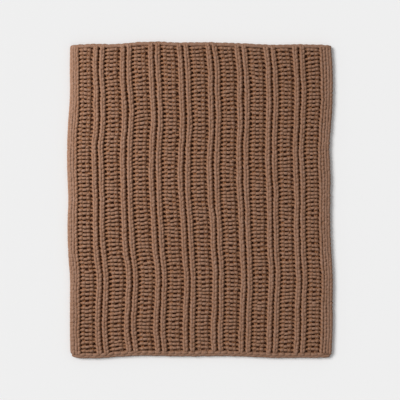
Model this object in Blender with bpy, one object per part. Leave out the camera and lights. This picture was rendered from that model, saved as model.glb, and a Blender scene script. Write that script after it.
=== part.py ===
"""Chunky knit throw blanket, lying flat.

One piece of two-by-two rib in a thick chenille yarn: nine sunken purl panels, eight raised knit
ribs between them, a rolled knit border along both sides, a cast-on cord along the lower end and a
bind-off cord along the upper one. Metres, +X across the blanket, +Y up its length, +Z out of its
face. The origin lies on the underside, in the middle of the blanket's box.
"""

import math
from collections import namedtuple

import bmesh
import bpy
import numpy as np

# Driving dimensions
WIDTH = 1.287  # between the outermost points of the two sides
LENGTH = 1.535  # between the outermost points of the two ends
YARN = 0.014  # the yarn's diameter where stitches press on each other; the fabric is two deep
STITCH = 0.03465  # width of one stitch
RIB_REPEAT = 4 * STITCH  # two knit stitches and two purl ones
RIBS = 8
FIRST_GROOVE = 0.1526  # from the left side to the groove down the middle of the first knit rib
CORNER_RADIUS = 0.016

ROWS_OF_RIBS = 33  # mesh rows between the end cords
RIBS_BEGIN = 0.012  # from the gaps beside an end cord to where the ribs have their full height
SHARP_ANGLE = math.radians(50)

NAME = "knit_blanket"
COLOUR = (0.262, 0.138, 0.084, 1.0)
ROUGHNESS = 0.95

# Half a rib repeat: across from the groove in a knit rib to the middle of a purl panel, in
# stitches, and the face's height there, in yarns.
RibPoint = namedtuple("RibPoint", "across height")
HALF_REPEAT = (
    RibPoint(across=0.00, height=1.15),  # groove between the rib's two columns of stitches
    RibPoint(across=0.27, height=1.90),  # inner legs of its knit stitches
    RibPoint(across=0.70, height=1.93),  # outer legs
    RibPoint(across=0.98, height=1.30),  # step down to the panel
    RibPoint(across=1.46, height=1.80),  # heads of the purl stitches
    RibPoint(across=2.00, height=1.60),  # middle of the panel
)

PANEL_EDGE = HALF_REPEAT[3].across

# The border from its side inwards, as a share of its width, and its height in yarns.
BorderPoint = namedtuple("BorderPoint", "share height")
BORDER = (
    BorderPoint(share=0.36, height=1.93),  # top of the roll
    BorderPoint(share=0.58, height=1.68),  # line of holes
    BorderPoint(share=0.79, height=1.93),  # inner legs
)

# The rim from the underside up, in yarns: in from the outermost point, and height.
RimPoint = namedtuple("RimPoint", "inwards height")
RIM = (
    RimPoint(inwards=0.60, height=0.00),
    RimPoint(inwards=0.00, height=0.55),
    RimPoint(inwards=0.10, height=1.25),
    RimPoint(inwards=0.60, height=1.76),
)

# The cords along the ends: in from the end in metres, and height in yarns.
CordPoint = namedtuple("CordPoint", "inwards height")
CAST_ON_CORD = (
    CordPoint(inwards=0.0140, height=1.88),
    CordPoint(inwards=0.0220, height=1.78),
    CordPoint(inwards=0.0300, height=1.25),  # row of gaps above the cord
)
BIND_OFF_CORD = (
    CordPoint(inwards=0.0110, height=1.80),
    CordPoint(inwards=0.0180, height=1.25),
)

# How far the blanket stands to the right of an even rectangle, in metres, at heights up its
# length: its left side, the ribs near it, the middle ribs, those near the right side, and the
# right side.
Sway = namedtuple("Sway", "up left left_ribs middle right_ribs right")
SWAYS = (
    Sway(up=0.000, left=0.016, left_ribs=0.029, middle=0.0235, right_ribs=0.002, right=-0.007),
    Sway(up=0.130, left=0.0135, left_ribs=0.0145, middle=0.019, right_ribs=0.0095, right=-0.002),
    Sway(up=0.260, left=0.0135, left_ribs=0.019, middle=0.025, right_ribs=0.012, right=-0.001),
    Sway(up=0.400, left=0.013, left_ribs=0.024, middle=0.0255, right_ribs=0.018, right=-0.001),
    Sway(up=0.520, left=0.0045, left_ribs=0.0085, middle=0.019, right_ribs=0.011, right=-0.007),
    Sway(up=0.650, left=0.002, left_ribs=0.0025, middle=0.0145, right_ribs=0.0085, right=-0.012),
    Sway(up=0.780, left=0.006, left_ribs=-0.001, middle=0.0035, right_ribs=0.009, right=-0.012),
    Sway(up=0.910, left=0.001, left_ribs=-0.0035, middle=0.000, right_ribs=0.005, right=-0.012),
    Sway(up=1.020, left=0.000, left_ribs=-0.005, middle=0.0035, right_ribs=0.0015, right=-0.016),
    Sway(up=1.150, left=0.005, left_ribs=0.004, middle=0.0085, right_ribs=0.006, right=-0.008),
    Sway(up=1.280, left=0.014, left_ribs=0.002, middle=0.004, right_ribs=0.010, right=0.000),
    Sway(up=1.400, left=0.014, left_ribs=-0.0055, middle=0.003, right_ribs=0.006, right=-0.001),
    Sway(up=1.535, left=0.015, left_ribs=-0.002, middle=-0.0115, right_ribs=-0.0065, right=-0.007),
)
SWAY_ACROSS = (0.00, 0.18, 0.50, 0.82, 1.00)  # where those five are, as a share of the width

# How far the two ends stand in from the rectangle, in metres, at places across the width.
EndLine = namedtuple("EndLine", "across upper lower")
END_LINES = (
    EndLine(across=0.000, upper=0.014, lower=0.004),
    EndLine(across=0.100, upper=0.011, lower=0.000),
    EndLine(across=0.240, upper=0.011, lower=0.009),
    EndLine(across=0.320, upper=0.004, lower=0.013),
    EndLine(across=0.420, upper=0.000, lower=0.012),
    EndLine(across=0.560, upper=0.003, lower=0.010),
    EndLine(across=0.740, upper=0.003, lower=0.012),
    EndLine(across=0.860, upper=0.008, lower=0.009),
    EndLine(across=0.960, upper=0.013, lower=0.004),
    EndLine(across=1.120, upper=0.013, lower=0.003),
    EndLine(across=1.287, upper=0.014, lower=0.004),
)

# Slow swells of the face where the blanket isn't pulled flat: height in metres, and radians a
# metre across and up.
Swell = namedtuple("Swell", "height across up")
SWELLS = (
    Swell(height=0.0004, across=9.1, up=4.3),
    Swell(height=0.0004, across=5.2, up=-7.7),
)


def column(table, name):
    return np.array([getattr(row, name) for row in table])


def weights_at(places, at):
    """How much the value at each place counts at `at`, on a smooth curve through them all."""
    right = min(max(int(np.searchsorted(places, at, side="right")), 1), len(places) - 1)
    left = right - 1
    span = places[right] - places[left]
    f = (at - places[left]) / span
    identity = np.eye(len(places))
    slopes = np.gradient(identity, places, axis=0)
    return (
        (1 + 2 * f) * (1 - f) ** 2 * identity[left]
        + f * (1 - f) ** 2 * span * slopes[left]
        + f * f * (3 - 2 * f) * identity[right]
        + f * f * (f - 1) * span * slopes[right]
    )


def rounded(across, up):
    """The point moved in from the rectangle's corners, whose square rings become arcs."""
    reach_x = CORNER_RADIUS - min(across, WIDTH - across)
    reach_y = CORNER_RADIUS - min(up, LENGTH - up)
    if reach_x <= 0 or reach_y <= 0:
        return across, up
    shrink = max(reach_x, reach_y) / math.hypot(reach_x, reach_y)
    in_x = CORNER_RADIUS - reach_x * shrink
    in_y = CORNER_RADIUS - reach_y * shrink
    return (
        in_x if across < WIDTH / 2 else WIDTH - in_x,
        in_y if up < LENGTH / 2 else LENGTH - in_y,
    )


def on_floor(across, up):
    """Where a point of the even rectangle lies on the floor, from its lower left corner."""
    across, up = rounded(across, up)
    stations = np.array([row[1:] for row in SWAYS])
    by_height = weights_at(column(SWAYS, "up"), up) @ stations
    sway = by_height @ weights_at(np.array(SWAY_ACROSS) * WIDTH, across)
    ends = weights_at(column(END_LINES, "across"), across)
    lower = ends @ column(END_LINES, "lower")
    upper = ends @ column(END_LINES, "upper")
    return across + sway, lower + (LENGTH - lower - upper) * up / LENGTH


def rib_columns():
    """(across, height in yarns) of each mesh column between the borders, from left to right."""
    middle = HALF_REPEAT[-1]
    grooves = [FIRST_GROOVE + rib * RIB_REPEAT for rib in range(RIBS)]
    panels = [grooves[0] - middle.across * STITCH]
    panels += [groove + middle.across * STITCH for groove in grooves]
    columns = [(panel, middle.height) for panel in panels]
    columns += [(groove, HALF_REPEAT[0].height) for groove in grooves]
    for point in HALF_REPEAT[1:-1]:
        for groove in grooves:
            columns.append((groove - point.across * STITCH, point.height))
            columns.append((groove + point.across * STITCH, point.height))
        if point.across >= PANEL_EDGE:
            to_middle = (middle.across - point.across) * STITCH
            columns.append((panels[0] - to_middle, point.height))
            columns.append((panels[-1] + to_middle, point.height))
    return sorted(columns)


def all_columns():
    """(across, height in yarns) of each mesh column, with the two borders."""
    ribs = rib_columns()
    left_border = ribs[0][0]
    right_border = WIDTH - ribs[-1][0]
    rim = RIM[-1]
    left = [(rim.inwards * YARN, rim.height)]
    left += [(point.share * left_border, point.height) for point in BORDER]
    right = [(WIDTH - point.share * right_border, point.height) for point in reversed(BORDER)]
    right += [(WIDTH - rim.inwards * YARN, rim.height)]
    return left + ribs + right


def all_rows():
    """(up, height in yarns) of each mesh row, with no height of its own between the end cords."""
    rim = RIM[-1]
    lower = [(rim.inwards * YARN, rim.height)] + [tuple(point) for point in CAST_ON_CORD]
    upper = [(rim.inwards * YARN, rim.height)] + [tuple(point) for point in BIND_OFF_CORD]
    first = CAST_ON_CORD[-1].inwards + RIBS_BEGIN
    last = LENGTH - BIND_OFF_CORD[-1].inwards - RIBS_BEGIN
    between = [(up, None) for up in np.linspace(first, last, ROWS_OF_RIBS)]
    return lower + between + [(LENGTH - up, height) for up, height in reversed(upper)]


def face_height(column_height, row_height, x, y):
    """Height of a point of the face; an end cord is level across, so it has a height of its own."""
    yarns = column_height if row_height is None else row_height
    swell = sum(s.height * math.sin(s.across * x + s.up * y) for s in SWELLS)
    return yarns * YARN + swell


def add_face(bm):
    """The ribbed face, as a grid. Returns each vertex's place in the even rectangle."""
    columns = all_columns()
    rows = all_rows()
    bmesh.ops.create_grid(bm, x_segments=len(columns) - 1, y_segments=len(rows) - 1, size=1)
    even_places = {}
    for vert in bm.verts:
        across, column_height = columns[round((vert.co.x + 1) / 2 * (len(columns) - 1))]
        up, row_height = rows[round((vert.co.y + 1) / 2 * (len(rows) - 1))]
        even_places[vert] = (across, up)
        x, y = on_floor(across, up)
        vert.co = (x, y, face_height(column_height, row_height, x, y))
    return even_places


def rim_place(place, size, inwards):
    """A boundary point's place along one side, moved to `inwards` from an end that it is on."""
    face_starts = RIM[-1].inwards * YARN
    if place <= face_starts:
        return inwards
    if place >= size - face_starts:
        return size - inwards
    return place


def add_rim(bm, even_places):
    """Rounds the open edge of the face down to the underside, ring by ring."""
    for ring in reversed(RIM[:-1]):
        edges = [edge for edge in bm.edges if edge.is_boundary]
        above = {vert for edge in edges for vert in edge.verts}
        made = bmesh.ops.extrude_edge_only(bm, edges=edges)["geom"]
        for vert in (item for item in made if isinstance(item, bmesh.types.BMVert)):
            ends = (end for edge in vert.link_edges for end in edge.verts)
            across, up = even_places[next(end for end in ends if end in above)]
            across = rim_place(across, WIDTH, ring.inwards * YARN)
            up = rim_place(up, LENGTH, ring.inwards * YARN)
            even_places[vert] = (across, up)
            vert.co = (*on_floor(across, up), ring.height * YARN)


def centre_on_origin(bm):
    """Moves the body so that its box is centred on the origin in X and Y."""
    places = np.array([vert.co[:] for vert in bm.verts])
    middle = (places.min(axis=0) + places.max(axis=0)) / 2
    bmesh.ops.translate(bm, verts=bm.verts, vec=(-middle[0], -middle[1], 0))


def blanket_mesh(name):
    """Face, rim and flat underside as one closed body."""
    bm = bmesh.new()
    even_places = add_face(bm)
    add_rim(bm, even_places)
    bmesh.ops.holes_fill(bm, edges=[edge for edge in bm.edges if edge.is_boundary], sides=0)
    bmesh.ops.recalc_face_normals(bm, faces=bm.faces)
    centre_on_origin(bm)
    mesh = bpy.data.meshes.new(name)
    bm.to_mesh(mesh)
    bm.free()
    return mesh


def chenille(name):
    material = bpy.data.materials.new(name)
    material.use_nodes = True
    shader = material.node_tree.nodes["Principled BSDF"]
    shader.inputs["Base Color"].default_value = COLOUR
    shader.inputs["Roughness"].default_value = ROUGHNESS
    shader.inputs["Metallic"].default_value = 0.0
    return material


def main():
    for thing in list(bpy.data.objects):
        bpy.data.objects.remove(thing, do_unlink=True)
    mesh = blanket_mesh(NAME)
    mesh.materials.append(chenille("chenille_yarn"))
    mesh.shade_smooth()
    mesh.set_sharp_from_angle(angle=SHARP_ANGLE)
    blanket = bpy.data.objects.new(NAME, mesh)
    bpy.context.scene.collection.objects.link(blanket)


main()
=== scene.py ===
"""Looks of the chunky knit throw blanket: the knit itself, loop by loop, in thick chenille yarn.

One yarn runs to and fro over the blanket, one course above the other, and makes 38 loops in each.
A knit loop shows its two legs and a purl loop its head and the bows beside it, so the two-by-two
rib comes out of the order of the stitches. A cast-on chain closes the lower end and a bind-off
chain the upper one. Metres; +X across the blanket, +Y up its length, +Z out of its face.
"""

import math
from collections import namedtuple

import bpy
import numpy as np
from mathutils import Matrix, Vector


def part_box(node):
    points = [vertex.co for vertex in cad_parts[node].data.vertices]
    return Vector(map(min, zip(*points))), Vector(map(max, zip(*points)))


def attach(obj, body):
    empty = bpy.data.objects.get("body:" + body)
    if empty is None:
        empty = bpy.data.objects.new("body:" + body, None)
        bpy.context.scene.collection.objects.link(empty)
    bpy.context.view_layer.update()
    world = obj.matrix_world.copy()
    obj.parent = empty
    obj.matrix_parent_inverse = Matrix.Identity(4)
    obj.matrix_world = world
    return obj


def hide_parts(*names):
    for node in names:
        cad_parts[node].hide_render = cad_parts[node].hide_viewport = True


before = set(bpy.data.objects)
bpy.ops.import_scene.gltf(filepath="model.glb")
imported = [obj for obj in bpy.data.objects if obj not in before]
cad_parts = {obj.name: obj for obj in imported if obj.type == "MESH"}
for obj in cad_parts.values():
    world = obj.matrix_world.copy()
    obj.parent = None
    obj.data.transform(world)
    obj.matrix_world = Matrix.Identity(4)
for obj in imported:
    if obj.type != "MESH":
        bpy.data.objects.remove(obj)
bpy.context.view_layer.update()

NODE = "knit_blanket"
low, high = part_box(NODE)
WIDTH = high[0] - low[0]
LENGTH = high[1] - low[1]

# What each point of the yarn has: its place in the even rectangle, its thickness as a share, and
# how far it lies in front of the fabric's middle, which sets the painted shade in its colour.
ACROSS, UP, HEIGHT, THICKNESS, FRONT = range(5)

# The yarn
YARN = 0.0149  # diameter
UNEVEN = 0.05  # how much its radius varies, as a share
UNEVEN_REACHES = (0.021, 0.034, 0.055, 0.13)  # and over what lengths of it
TUFTED = 0.035  # how much its pile stands out or lies down from point to point, as a share
KNIT_FULL = 0.10  # how much fuller it lies in the legs of knit loops
PURL_THIN = 0.08  # how much thinner it is pulled in purl loops
PURL_BOW_THIN = 0.03  # and more in the bow between two of them
CHANGE_BOW_THIN = 0.16  # or in the bow between one and a knit loop
EDGE_FULL = 0.20  # how much fuller it lies in the two columns along each side
EDGE_FLAT = 0.75  # and how much flatter
EDGE_REACH = 0.046  # how far in from the side that begins
END_TIP = 0.08  # where its rounded ends begin, in radii from the tip
SAMPLES = 18  # points of it in a stitch
SIDES = 8  # of its cross-section

# The stitches: kinds and places
KNIT, PURL = 1, -1
KINDS = np.array([KNIT, KNIT] + [PURL, PURL, KNIT, KNIT] * 9)
WALES = len(KINDS)
STITCH = 0.03465  # width of one
FIRST_GROOVE = 0.1526  # from the left side to the middle of the first knit rib
BEFORE_GROOVE = 3  # stitches between the left side's border and that groove
EDGE_WALES = 2  # stitches of each side's border, whose legs stand evenly apart
LEFT_EDGE_STITCH = 0.0223  # width of the outermost one on the left
RIGHT_EDGE_STITCH = 0.0270  # and on the right
RIGHT_INSET = 0.0032  # how far the last stitch stays in from the right side
COURSES = 77
PITCH = 0.01955  # from one course to the next
FIRST_COURSE = 0.0305  # height of the first one's middle above the lower end
LAST_INSET = 0.0128  # how far the last one's yarn stays in from the upper end, under its chain

# The loops
MIDDLE = 0.0148  # height of the fabric's middle above what it lies on
LOOP_DEPTH = 0.0070  # how far its legs stand in front of the fabric's middle, and its head behind
PURL_LEG_DEPTH = 0.0055  # how far a purl loop's legs lie behind the middle, its head being in front
KNIT_BOW_DEPTH = 0.0056  # how far behind the middle the bow between two knit loops lies
LOOP_STEEP = 1.2  # how quickly the yarn goes from the front to the back, and how long it stays
LOOP_HALF_HEIGHT = 0.0101  # from a loop's middle up to its head and down to its bows
LOOP_FLAT = 0.10  # how flat its head and the bows beside it are
LOOP_LEAN = 0.0052  # how far its legs lean out towards its head
KNIT_TUCK = 0.0040  # how far they are drawn in towards each other, in knit loops
PURL_TUCK = 0.0043  # and in purl loops
CROSSOVER = 0.2  # share of a stitch in which the yarn changes over to the next kind of stitch

# How far a loop strays from its even place in hand knitting: across, up and in height
STRAY = (0.0009, 0.0012, 0.0006)
STRAY_PLACES = (0.0, 0.5, 1.0, 0.5)  # bow, leg, head and leg: how far up the loop each is
OWN_STRAY = 0.5  # how much it strays by itself, to what it shares with the loops above and below

# How the rows wander over the blanket: along which axis, how far and over what reach
Wander = namedtuple("Wander", "axis shift reach")
WANDERS = (
    Wander(axis=UP, shift=0.0020, reach=0.14),
    Wander(axis=UP, shift=0.0016, reach=0.45),
    Wander(axis=ACROSS, shift=0.0009, reach=0.12),
)
DRIFT_WAVES = 7  # waves that make one such wandering
DRIFT_LENGTHS = (0.7, 1.6)  # the shortest and longest of them, as a share of its reach

# The sides roll down to the floor, and there the yarn turns into the next course
ROLL = 0.024  # how far in from the side the roll begins
ROLL_RADIUS = 0.026
ROLL_MOST = 0.98  # the most of that radius that the roll takes up
TURN_BEGINS = 0.12  # share of the outermost stitch that the turn leaves out
TURN_SAMPLES = 7  # points of the yarn in a turn
TURN_SAG = 0.0048  # how far a turn hangs towards the lower end
TURN_DIP = 0.008  # and how far it dips to the floor

CORNER_RADIUS = 0.018  # of the outline
BANDS = 6  # pieces that the courses are made in

# The inner layer, whose dark colour is painted shade
CORE_HEIGHT = 0.0085  # above the floor
CORE_INSET = 0.013  # how far its edge stays in from the blanket's
CORE_GRID = (60, 70)  # points across and up

# The yarn's colours, as shares of the light given back, by how far it lies in front of the fabric's
# middle: painted shade, warm and dark, deep between the loops, and a paler painted highlight on its
# tops.
Depth = namedtuple("Depth", "front colour")
PAINTED_SHADE_STOPS = (
    Depth(front=-0.009, colour=(0.208, 0.066, 0.014)),
    Depth(front=0.003, colour=(0.244, 0.115, 0.057)),
    Depth(front=0.015, colour=(0.232, 0.130, 0.086)),
)
# Painted shade: the first and last courses are kept out of its darkest colours.
END_FRONT = 0.002  # where the first and last courses count as lying at least, for their colour
# Painted shade: the dark colour of the inner layer, for the shade deep in the gaps between the
# loops.
INNER_SHADE_COLOUR = (0.078, 0.020, 0.004)

# Waves in the tone and the pile: how many in a metre, how much finer ones lie on top of them, and
# how far they go either way, as a share
Shade = namedtuple("Shade", "scale detail share")
TUFTS = Shade(scale=380, detail=2, share=0.14)
PATCHES = Shade(scale=95, detail=1, share=0.10)
DYE = Shade(scale=6, detail=1, share=0.02)
FIBRES = Shade(scale=1300, detail=2, share=0.14)
INNER_TUFTS = Shade(scale=200, detail=2, share=0.3)
NOISE_RANGE = (0.3, 0.7)  # where nearly all of Blender's noise lies
TONE_RANGE = (0.8, 1.2)  # and nearly all of the yarn's tone
PALE_TUFTS = 0.12  # how much less colourful the lightest tufts are, and the darkest ones more

# The finish
TUFT_HEIGHT = 0.0010  # of the bumps in the pile
FIBRE_HEIGHT = 0.0007
ROUGHNESS = 0.9
SPECULAR = 0.15
SHEEN = 0.10
SHEEN_ROUGHNESS = 0.45
SHEEN_COLOUR = (1.0, 0.72, 0.54)

# The studio
FLOOR_COLOUR = (0.885, 0.885, 0.885)
FLOOR_SIZE = 12
ROOM_LIGHT = 0.41
KEY_LIGHT = 2.58
KEY_ANGLE = 28  # degrees that the key light seems wide
KEY_FROM = (-0.95, 0.46, 1.0)
PANEL_LIGHT = 24
PANEL_SIZE = 0.8
PANEL_AT = (-1.7, 0.6, 1.1)
CAMERA_UP = 6.0
CAMERA_SEES = 50  # how far it sees
SENSOR = 36  # width in millimetres
FRAME_WIDTH = 1.932  # what the photo shows from its left side to its right one

SEED = 7

# How far the blanket stands to the right of an even rectangle, in metres, at heights up its
# length: its left side, the ribs near it, the middle ribs, those near the right side, and the
# right side. These are the solid's own.
Sway = namedtuple("Sway", "up left left_ribs middle right_ribs right")
SWAYS = (
    Sway(up=0.000, left=0.016, left_ribs=0.029, middle=0.0235, right_ribs=0.002, right=-0.007),
    Sway(up=0.130, left=0.0135, left_ribs=0.0145, middle=0.019, right_ribs=0.0095, right=-0.002),
    Sway(up=0.260, left=0.0135, left_ribs=0.019, middle=0.025, right_ribs=0.012, right=-0.001),
    Sway(up=0.400, left=0.013, left_ribs=0.024, middle=0.0255, right_ribs=0.018, right=-0.001),
    Sway(up=0.520, left=0.0045, left_ribs=0.0085, middle=0.019, right_ribs=0.011, right=-0.007),
    Sway(up=0.650, left=0.002, left_ribs=0.0025, middle=0.0145, right_ribs=0.0085, right=-0.012),
    Sway(up=0.780, left=0.006, left_ribs=-0.001, middle=0.0035, right_ribs=0.009, right=-0.012),
    Sway(up=0.910, left=0.001, left_ribs=-0.0035, middle=0.000, right_ribs=0.005, right=-0.012),
    Sway(up=1.020, left=0.000, left_ribs=-0.005, middle=0.0035, right_ribs=0.0015, right=-0.016),
    Sway(up=1.150, left=0.005, left_ribs=0.004, middle=0.0085, right_ribs=0.006, right=-0.008),
    Sway(up=1.280, left=0.014, left_ribs=0.002, middle=0.004, right_ribs=0.010, right=0.000),
    Sway(up=1.400, left=0.014, left_ribs=-0.0055, middle=0.003, right_ribs=0.006, right=-0.001),
    Sway(up=1.535, left=0.015, left_ribs=-0.002, middle=-0.0115, right_ribs=-0.0065, right=-0.007),
)
SWAY_ACROSS = (0.00, 0.18, 0.50, 0.82, 1.00)  # where those five are, as a share of the width

# How far the two ends stand in from the rectangle, in metres, at places across the width.
EndLine = namedtuple("EndLine", "across upper lower")
END_LINES = (
    EndLine(across=0.000, upper=0.014, lower=0.004),
    EndLine(across=0.100, upper=0.011, lower=0.000),
    EndLine(across=0.240, upper=0.011, lower=0.009),
    EndLine(across=0.320, upper=0.004, lower=0.013),
    EndLine(across=0.420, upper=0.000, lower=0.012),
    EndLine(across=0.560, upper=0.003, lower=0.010),
    EndLine(across=0.740, upper=0.003, lower=0.012),
    EndLine(across=0.860, upper=0.008, lower=0.009),
    EndLine(across=0.960, upper=0.013, lower=0.004),
    EndLine(across=1.120, upper=0.013, lower=0.003),
    EndLine(across=1.287, upper=0.014, lower=0.004),
)

# The chains along the ends: height of the middle above the lower end, how far its two strands are
# apart, how deep they lie in each other, how far it is rolled over (degrees) and its yarn.
Chain = namedtuple("Chain", "name up spread depth roll yarn")
CHAINS = (
    Chain("cast_on_chain", up=0.0142, spread=0.0050, depth=0.0030, roll=22, yarn=0.0162),
    Chain("bind_off_chain", up=LENGTH - 0.0108, spread=0.0030, depth=0.0012, roll=-60, yarn=0.0164),
)
CHAIN_REACH = 0.70  # how far each link reaches back into the one before, in stitches
CHAIN_STRAIGHT = 2.2  # how long its strands run straight before they cross over
CHAIN_SAMPLES = 22  # points of the yarn in a link
CHAIN_STRAY = 0.0006  # how far a chain strays up and down
CHAIN_STRAY_REACH = 0.07  # and over what reach


def smoothstep(value):
    value = np.clip(value, 0, 1)
    return value * value * (3 - 2 * value)


def weights_at(places, at):
    """(points, places): how much the value at each place counts, on a smooth curve through them."""
    places = np.asarray(places, float)
    right = np.clip(np.searchsorted(places, at, side="right"), 1, len(places) - 1)
    left = right - 1
    span = (places[right] - places[left])[:, None]
    f = (at[:, None] - places[left][:, None]) / span
    identity = np.eye(len(places))
    slopes = np.gradient(identity, places, axis=0)
    return (
        (1 + 2 * f) * (1 - f) ** 2 * identity[left]
        + f * (1 - f) ** 2 * span * slopes[left]
        + f * f * (3 - 2 * f) * identity[right]
        + f * f * (f - 1) * span * slopes[right]
    )


def rounded(across, up):
    """Points moved in from the rectangle's corners, whose square rings become arcs."""
    reach_x = np.maximum(CORNER_RADIUS - np.minimum(across, WIDTH - across), 0)
    reach_y = np.maximum(CORNER_RADIUS - np.minimum(up, LENGTH - up), 0)
    corner = (reach_x > 0) & (reach_y > 0)
    square = np.maximum(reach_x, reach_y)
    diagonal = np.maximum(np.hypot(reach_x, reach_y), 1e-9)
    shrink = np.where(corner, square / diagonal, 1)
    move_x = reach_x * (1 - shrink)
    move_y = reach_y * (1 - shrink)
    return (
        across + np.where(across < WIDTH / 2, move_x, -move_x),
        up + np.where(up < LENGTH / 2, move_y, -move_y),
    )


def on_floor(points):
    """Points of the even rectangle, from its lower left corner, moved to where the blanket lies."""
    across, up = rounded(points[:, ACROSS], points[:, UP])
    stations = np.array([row[1:] for row in SWAYS])
    by_height = weights_at([row.up for row in SWAYS], up) @ stations
    sway = (by_height * weights_at(np.array(SWAY_ACROSS) * WIDTH, across)).sum(axis=1)
    ends = weights_at([row.across for row in END_LINES], across)
    lower = ends @ np.array([row.lower for row in END_LINES])
    upper = ends @ np.array([row.upper for row in END_LINES])
    x = across + sway - WIDTH / 2
    y = lower + (LENGTH - lower - upper) * up / LENGTH - LENGTH / 2
    return np.stack([x, y, points[:, HEIGHT]], axis=1)


def wale_edges():
    """Places of the lines between the columns of stitches, from the left side."""
    first_panel = FIRST_GROOVE - BEFORE_GROOVE * STITCH
    inner = first_panel + STITCH * np.arange(WALES + 1 - 2 * EDGE_WALES)
    last = WIDTH - RIGHT_INSET
    return np.concatenate([[0, LEFT_EDGE_STITCH], inner, [last - RIGHT_EDGE_STITCH, last]])


def rolled_down(across, height):
    """Heights near the two sides, where the fabric curves down to the floor."""
    from_side = np.minimum(across, WIDTH - across)
    down = np.clip((ROLL - from_side) / ROLL_RADIUS, 0, ROLL_MOST)
    return YARN / 2 + (height - YARN / 2) * np.sqrt(1 - down * down)


def uneven_knitting(rng, along):
    """(courses, points, 3): how far a hand-knit course's yarn is from its even place.

    The heads of one course stray along with the bows of the next, which run through them.
    """
    per_stitch = len(STRAY_PLACES)
    keys = per_stitch * WALES + 1
    shared = rng.normal(size=(COURSES + 1, keys, 3))
    own = rng.normal(size=(COURSES, keys, 3))
    share = np.array(STRAY_PLACES)[np.arange(keys) % per_stitch][None, :, None]
    shift = shared[:-1] * (1 - share) + shared[1:] * share + OWN_STRAY * own
    shift *= np.array(STRAY)
    place = along * per_stitch
    left = np.minimum(place.astype(int), keys - 2)
    f = smoothstep(place - left)[None, :, None]
    return shift[:, left] * (1 - f) + shift[:, left + 1] * f


def drift(rng, across, up, reach):
    """A smooth random field over the blanket, about 1 in size, that changes over `reach` metres."""
    total = np.zeros_like(across)
    for _ in range(DRIFT_WAVES):
        turn = rng.uniform(0, 2 * math.pi)
        phase = rng.uniform(0, 2 * math.pi)
        pace = 2 * math.pi / (reach * rng.uniform(*DRIFT_LENGTHS))
        total += np.sin(pace * (across * math.cos(turn) + up * math.sin(turn)) + phase)
    return total * math.sqrt(2 / DRIFT_WAVES)


def knit_courses(rng):
    """The yarn of each course, from left to right: (courses, points, the five columns)."""
    edges = wale_edges()
    along = np.linspace(TURN_BEGINS, WALES - TURN_BEGINS, int((WALES - 2 * TURN_BEGINS) * SAMPLES))
    wale = along.astype(int)
    t = along - wale  # place in the stitch: 0 and 1 are its bows, 0.5 is its head
    turn = 2 * np.pi * t
    kind = KINDS[wale].astype(float)
    purl = kind == PURL
    before = KINDS[np.maximum(wale - 1, 0)]
    after = KINDS[np.minimum(wale + 1, WALES - 1)]
    neighbour = np.where(t < 0.5, before, after)
    knit_bow = (kind == KNIT) & (neighbour == KNIT)
    purl_bow = purl & (neighbour == PURL)
    own_share = 0.5 + 0.5 * smoothstep(np.minimum(t, 1 - t) / CROSSOVER)
    face = kind * own_share + neighbour * (1 - own_share)

    # A loop seen from the front
    width = edges[wale + 1] - edges[wale]
    across = edges[wale] + width * t
    tuck = np.where(purl, PURL_TUCK, KNIT_TUCK)
    tuck[(wale < EDGE_WALES) | (wale >= WALES - EDGE_WALES)] = 0
    lean = LOOP_LEAN * np.sin(2 * turn) + tuck * np.sin(turn)
    across = across + lean * width / STITCH
    rise = -LOOP_HALF_HEIGHT * (np.cos(turn) - LOOP_FLAT * np.cos(3 * turn)) / (1 - LOOP_FLAT)

    # How far it lies in front of the middle: knit legs and purl heads and bows do, others don't
    wave = np.tanh(LOOP_STEEP * np.cos(2 * turn)) / math.tanh(LOOP_STEEP)
    forward = -LOOP_DEPTH * face * wave
    forward += np.where(purl, LOOP_DEPTH - PURL_LEG_DEPTH, 0) * 0.5 * (1 - np.cos(2 * turn))
    forward += np.where(knit_bow, LOOP_DEPTH - KNIT_BOW_DEPTH, 0) * np.maximum(np.cos(turn), 0) ** 2
    depth = np.tile(forward, (COURSES, 1))
    in_head = np.abs(t - 0.5) < 0.25
    depth[0, purl & ~in_head] = -LOOP_DEPTH  # under the cast-on chain
    depth[-1, purl & in_head] = -LOOP_DEPTH  # under the bind-off chain

    # All the courses, unevenly knitted and wandering
    up = FIRST_COURSE + PITCH * np.arange(COURSES)[:, None] + rise[None, :]
    points = np.stack([np.tile(across, (COURSES, 1)), up, MIDDLE + depth], axis=2)
    points += uneven_knitting(rng, along)
    x, y = points[:, :, ACROSS].copy(), points[:, :, UP].copy()
    for wander in WANDERS:
        points[:, :, wander.axis] += wander.shift * drift(rng, x, y, wander.reach)
    points[-1, :, UP] = np.minimum(points[-1, :, UP], LENGTH - LAST_INSET)

    # The two sides, flatter and rolled down
    from_side = np.minimum(points[:, :, ACROSS], WIDTH - points[:, :, ACROSS])
    edge = smoothstep((EDGE_REACH - from_side) / YARN)
    front = points[:, :, HEIGHT] - MIDDLE
    flattened = MIDDLE + front * (1 - EDGE_FLAT * edge)
    points[:, :, HEIGHT] = rolled_down(points[:, :, ACROSS], flattened)
    # Along the sides the yarn counts as lying at its legs' depth, and the end courses no deeper
    # than END_FRONT, for the painted shade in their colour.
    front = front * (1 - edge) + LOOP_DEPTH * edge
    front[[0, -1]] = np.maximum(front[[0, -1]], END_FRONT)

    # How thick the yarn is
    bow_thin = np.where(knit_bow, 0, np.where(purl_bow, PURL_BOW_THIN, CHANGE_BOW_THIN))
    thin = bow_thin * (0.5 + 0.5 * np.cos(turn))
    thin += PURL_THIN * smoothstep(0.5 - face / 2)
    knit_legs = smoothstep(0.5 + face / 2) * np.sin(turn) ** 2
    full = EDGE_FULL * edge + KNIT_FULL * knit_legs * (1 - edge)
    thickness = (1 + full) * (1 - thin)
    return np.concatenate([points, thickness[:, :, None], front[:, :, None]], axis=2)


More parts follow.
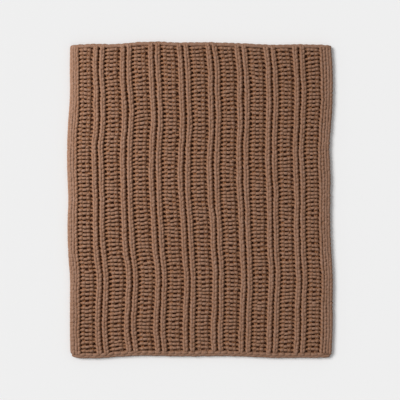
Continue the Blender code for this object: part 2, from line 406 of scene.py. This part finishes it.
def side_turn(below, above):
    """Points of the yarn where it leaves one course and goes up into the next, at a side."""
    dip = np.zeros_like(below)
    dip[UP] = -TURN_SAG
    dip[HEIGHT] = -TURN_DIP
    pulls = (below, below + dip, above + dip, above)
    f = np.linspace(0, 1, TURN_SAMPLES + 2)[1:-1, None]
    counts = ((1 - f) ** 3, 3 * f * (1 - f) ** 2, 3 * f * f * (1 - f), f ** 3)
    turn = sum(count * pull for count, pull in zip(counts, pulls))
    turn[:, ACROSS] = np.clip(turn[:, ACROSS], YARN / 2, WIDTH - YARN / 2)
    turn[:, HEIGHT] = np.maximum(turn[:, HEIGHT], YARN / 2)
    return turn


def one_yarn(courses, first):
    """The courses as one run of yarn, to and fro, with the turns at the sides."""
    runs = []
    for index, course in enumerate(courses):
        run = course if (first + index) % 2 == 0 else course[::-1]
        if runs:
            runs.append(side_turn(runs[-1][-1], run[0]))
        runs.append(run)
    return np.concatenate(runs)


def chain_points(chain, rng):
    """The yarn of one end's chain, with the same five columns as a course."""
    links = WALES - 0.5  # the last one stays half open
    link = (WIDTH - chain.yarn) / (links + 2 * CHAIN_REACH)
    along = np.linspace(0, links, WALES * CHAIN_SAMPLES)
    turn = 2 * np.pi * along
    across = chain.yarn / 2 + link * (along + CHAIN_REACH - CHAIN_REACH * np.cos(turn))
    strand = -chain.spread * np.tanh(CHAIN_STRAIGHT * np.sin(turn)) / math.tanh(CHAIN_STRAIGHT)
    inwards = -chain.depth * np.cos(2 * turn)
    roll = math.radians(chain.roll)
    up = chain.up + strand * math.cos(roll) - inwards * math.sin(roll)
    height = MIDDLE + strand * math.sin(roll) + inwards * math.cos(roll)
    up = up + CHAIN_STRAY * drift(rng, across, up, CHAIN_STRAY_REACH)
    # The chain counts as lying at the knit legs' depth, for the painted shade in its colour.
    return np.stack([across, up, height, np.ones_like(up), np.full_like(up, LOOP_DEPTH)], axis=1)


def tube(points, reach):
    """The yarn along the points: its vertices, its quads and each vertex's height over its point.

    reach is (points, SIDES): how far the surface is from the yarn's middle.
    """
    tangent = np.gradient(points, axis=0)
    tangent /= np.linalg.norm(tangent, axis=1, keepdims=True)
    side = np.cross(tangent, [0.0, 0.0, 1.0])
    side /= np.linalg.norm(side, axis=1, keepdims=True)
    up = np.cross(side, tangent)
    angle = 2 * np.pi * np.arange(SIDES) / SIDES
    ring = (
        np.cos(angle)[None, :, None] * side[:, None, :]
        + np.sin(angle)[None, :, None] * up[:, None, :]
    )
    vertices = points[:, None, :] + reach[:, :, None] * ring
    lift = reach * ring[:, :, 2]
    n = len(points)
    start = np.arange(n - 1)[:, None] * SIDES
    this = np.arange(SIDES)[None, :]
    after = (this + 1) % SIDES
    quads = np.stack([start + this, start + SIDES + this, start + SIDES + after, start + after], -1)
    # The ends are octagons, each closed by three quads
    first_cap = np.array([[0, 1, 2, 3], [0, 3, 4, 7], [4, 5, 6, 7]])
    last_cap = (n - 1) * SIDES + first_cap[:, ::-1]
    quads = np.concatenate([quads.reshape(-1, 4), first_cap, last_cap])
    return vertices.reshape(-1, 3), quads, lift


def yarn_radii(points, diameter, rng):
    """The yarn's radius at each point, thicker and thinner by turns along it."""
    step = np.linalg.norm(np.diff(points[:, : HEIGHT + 1], axis=0), axis=1)
    at = np.concatenate([[0], np.cumsum(step)])
    wave = np.zeros(len(points))
    for reach in UNEVEN_REACHES:
        wave += np.sin(2 * np.pi * at / reach + rng.uniform(0, 2 * np.pi))
    from_end = np.minimum(at, at[-1] - at) / (diameter / 2)
    rounding = np.sqrt(1 - (1 - np.clip(from_end, END_TIP, 1)) ** 2)
    wave /= math.sqrt(len(UNEVEN_REACHES))
    return diameter / 2 * (1 + UNEVEN * wave) * points[:, THICKNESS] * rounding


def mesh_object(name, vertices, quads, material, front=None):
    """A piece of quads; `front` is how far each vertex lies in front of the fabric's middle, which
    sets the painted shade and highlight in the yarn's colour.
    """
    mesh = bpy.data.meshes.new(name)
    mesh.vertices.add(len(vertices))
    mesh.vertices.foreach_set("co", vertices.astype(np.float32).ravel())
    mesh.loops.add(quads.size)
    mesh.loops.foreach_set("vertex_index", quads.astype(np.int32).ravel())
    mesh.polygons.add(len(quads))
    mesh.polygons.foreach_set("loop_start", np.arange(0, quads.size, 4, dtype=np.int32))
    mesh.update(calc_edges=True)
    mesh.validate()
    if front is not None:
        column = mesh.attributes.new("front", "FLOAT", "POINT")
        column.data.foreach_set("value", front.astype(np.float32).ravel())
    mesh.shade_smooth()
    mesh.materials.append(material)
    obj = bpy.data.objects.new(name, mesh)
    bpy.context.scene.collection.objects.link(obj)
    return obj


def yarn_object(name, points, diameter, rng, material):
    """One run of yarn as a tube, kept inside the two sides and above the floor."""
    radii = yarn_radii(points, diameter, rng)
    tufts = 1 + TUFTED * rng.normal(size=(len(points), SIDES))
    points = points.copy()
    points[:, ACROSS] = np.clip(points[:, ACROSS], radii, WIDTH - radii)
    points[:, HEIGHT] = np.maximum(points[:, HEIGHT], radii)
    vertices, quads, lift = tube(on_floor(points), radii[:, None] * tufts)
    vertices[:, 2] = np.maximum(vertices[:, 2], 0)
    # Each vertex's height over the yarn's middle is added, so the painted highlight falls on the
    # yarn's top and the painted shade on its underside.
    return mesh_object(name, vertices, quads, material, points[:, FRONT, None] + lift)


def spread(tree, value, given, wanted):
    """A node output that goes from one pair of numbers to another as the value does."""
    node = tree.nodes.new("ShaderNodeMapRange")
    node.inputs["From Min"].default_value = given[0]
    node.inputs["From Max"].default_value = given[1]
    node.inputs["To Min"].default_value = wanted[0]
    node.inputs["To Max"].default_value = wanted[1]
    tree.links.new(value, node.inputs["Value"])
    return node.outputs["Result"]


def noise(tree, place, shade):
    """A node output that wanders about 1 by the shade's share either way."""
    texture = tree.nodes.new("ShaderNodeTexNoise")
    texture.inputs["Scale"].default_value = shade.scale
    texture.inputs["Detail"].default_value = shade.detail
    tree.links.new(place, texture.inputs["Vector"])
    wanted = (1 - shade.share, 1 + shade.share)
    return spread(tree, texture.outputs["Fac"], NOISE_RANGE, wanted)


def bump(tree, height, distance, normal=None):
    """The normal output of a bump of that height, on top of another one if there is one."""
    node = tree.nodes.new("ShaderNodeBump")
    node.inputs["Distance"].default_value = distance
    tree.links.new(height, node.inputs["Height"])
    if normal is not None:
        tree.links.new(normal, node.inputs["Normal"])
    return node.outputs["Normal"]


def product(tree, first, second):
    times = tree.nodes.new("ShaderNodeMath")
    times.operation = "MULTIPLY"
    tree.links.new(first, times.inputs[0])
    tree.links.new(second, times.inputs[1])
    return times.outputs["Value"]


def chenille():
    """Velvety yarn: painted shade, warm and dark, deep between the loops, a paler painted highlight
    on its tops, lighter tufts and a soft sheen.
    """
    material = bpy.data.materials.new("chenille")
    material.use_nodes = True
    tree = material.node_tree
    shader = tree.nodes["Principled BSDF"]
    shader.inputs["Roughness"].default_value = ROUGHNESS
    shader.inputs["Specular IOR Level"].default_value = SPECULAR
    shader.inputs["Sheen Weight"].default_value = SHEEN
    shader.inputs["Sheen Roughness"].default_value = SHEEN_ROUGHNESS
    shader.inputs["Sheen Tint"].default_value = (*SHEEN_COLOUR, 1)

    # The painted shade and highlight: colour by how far a point lies in front of the fabric's
    # middle.
    front = tree.nodes.new("ShaderNodeAttribute")
    front.attribute_name = "front"
    nearest, furthest = PAINTED_SHADE_STOPS[-1].front, PAINTED_SHADE_STOPS[0].front
    depth = spread(tree, front.outputs["Fac"], (furthest, nearest), (0, 1))
    ramp = tree.nodes.new("ShaderNodeValToRGB")
    ramp.color_ramp.elements.new(0.5)
    for stop, row in zip(ramp.color_ramp.elements, PAINTED_SHADE_STOPS):
        stop.position = (row.front - furthest) / (nearest - furthest)
        stop.color = (*row.colour, 1)
    tree.links.new(depth, ramp.inputs["Fac"])

    place = tree.nodes.new("ShaderNodeTexCoord").outputs["Object"]
    tufts = noise(tree, place, TUFTS)
    patches = noise(tree, place, PATCHES)
    dye = noise(tree, place, DYE)
    value = product(tree, product(tree, tufts, patches), dye)
    tone = tree.nodes.new("ShaderNodeHueSaturation")
    tree.links.new(value, tone.inputs["Value"])
    paleness = spread(tree, value, TONE_RANGE, (1 + PALE_TUFTS, 1 - PALE_TUFTS))
    tree.links.new(paleness, tone.inputs["Saturation"])
    tree.links.new(ramp.outputs["Color"], tone.inputs["Color"])
    tree.links.new(tone.outputs["Color"], shader.inputs["Base Color"])

    fibres = bump(tree, noise(tree, place, FIBRES), FIBRE_HEIGHT)
    pile = bump(tree, tufts, TUFT_HEIGHT, fibres)
    tree.links.new(pile, shader.inputs["Normal"])
    return material


def painted_inner_shade():
    """Painted shade for the dark middle of the fabric, seen only through the gaps between the
    loops.
    """
    material = plain("painted_inner_shade", INNER_SHADE_COLOUR)
    tree = material.node_tree
    place = tree.nodes.new("ShaderNodeTexCoord").outputs["Object"]
    tone = tree.nodes.new("ShaderNodeHueSaturation")
    tone.inputs["Color"].default_value = (*INNER_SHADE_COLOUR, 1)
    tree.links.new(noise(tree, place, INNER_TUFTS), tone.inputs["Value"])
    tree.links.new(tone.outputs["Color"], tree.nodes["Principled BSDF"].inputs["Base Color"])
    return material


def plain(name, colour):
    material = bpy.data.materials.new(name)
    material.use_nodes = True
    shader = material.node_tree.nodes["Principled BSDF"]
    shader.inputs["Base Color"].default_value = (*colour, 1)
    shader.inputs["Roughness"].default_value = ROUGHNESS
    return material


def make_courses(rng, material):
    courses = knit_courses(rng)
    pieces = []
    per_band = math.ceil(COURSES / BANDS)
    for first in range(0, COURSES, per_band):
        points = one_yarn(courses[first:first + per_band], first)
        name = f"knit_courses_{len(pieces) + 1}"
        pieces.append(yarn_object(name, points, YARN, rng, material))
    return pieces


def make_chains(rng, material):
    return [
        yarn_object(chain.name, chain_points(chain, rng), chain.yarn, rng, material)
        for chain in CHAINS
    ]


def make_core(material):
    """A thin layer in the middle of the fabric, which closes the gaps between the loops; its dark
    colour is painted shade.
    """
    columns, rows = CORE_GRID
    across = np.linspace(CORE_INSET, WIDTH - CORE_INSET, columns)
    up = np.linspace(CORE_INSET, LENGTH - CORE_INSET, rows)
    u, v = np.meshgrid(across, up)
    points = np.stack([u.ravel(), v.ravel(), np.full(u.size, CORE_HEIGHT)], axis=1)
    i = np.arange(rows - 1)[:, None] * columns + np.arange(columns - 1)[None, :]
    quads = np.stack([i, i + 1, i + 1 + columns, i + columns], axis=-1).reshape(-1, 4)
    return mesh_object("inner_layer", on_floor(points), quads, material)


def make_floor():
    bpy.ops.mesh.primitive_plane_add(size=FLOOR_SIZE, location=(0, 0, 0))
    floor = bpy.context.object
    floor.name = "floor"
    floor.data.materials.append(plain("floor_paint", FLOOR_COLOUR))


def make_lights(pieces):
    """Even light over all, a soft one from the left, and a near one on the blanket alone."""
    scene = bpy.context.scene
    scene.view_settings.view_transform = "Standard"
    world = bpy.data.worlds.new("studio")
    scene.world = world
    world.use_nodes = True
    background = world.node_tree.nodes["Background"]
    background.inputs["Color"].default_value = (1, 1, 1, 1)
    background.inputs["Strength"].default_value = ROOM_LIGHT
    lamp = bpy.data.lights.new("key", "SUN")
    lamp.energy = KEY_LIGHT
    lamp.angle = math.radians(KEY_ANGLE)
    key = bpy.data.objects.new("key", lamp)
    key.rotation_euler = Vector(KEY_FROM).to_track_quat("Z", "Y").to_euler()
    scene.collection.objects.link(key)

    lamp = bpy.data.lights.new("side_panel", "AREA")
    lamp.shape = "DISK"
    lamp.size = PANEL_SIZE
    lamp.energy = PANEL_LIGHT
    panel = bpy.data.objects.new("side_panel", lamp)
    panel.location = PANEL_AT
    panel.rotation_euler = Vector(PANEL_AT).to_track_quat("Z", "Y").to_euler()
    scene.collection.objects.link(panel)
    lit = bpy.data.collections.new("lit_by_side_panel")
    for piece in pieces:
        lit.objects.link(piece)
    panel.light_linking.receiver_collection = lit


def make_camera():
    """A camera straight above, whose frame is as wide as the photo's at the blanket's face."""
    data = bpy.data.cameras.new("camera")
    camera = bpy.data.objects.new("camera", data)
    bpy.context.scene.collection.objects.link(camera)
    camera.location = (0, 0, CAMERA_UP)
    data.sensor_fit = "HORIZONTAL"
    data.sensor_width = SENSOR
    data.lens = SENSOR * (CAMERA_UP - MIDDLE * 2) / FRAME_WIDTH
    data.clip_end = CAMERA_SEES
    bpy.context.scene.camera = camera


rng = np.random.default_rng(SEED)
yarn = chenille()
knit = make_courses(rng, yarn) + make_chains(rng, yarn)
core = make_core(painted_inner_shade())
for piece in [core, *knit]:
    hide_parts(NODE)
    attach(piece, "root")
make_floor()
make_lights([core, *knit])
make_camera()
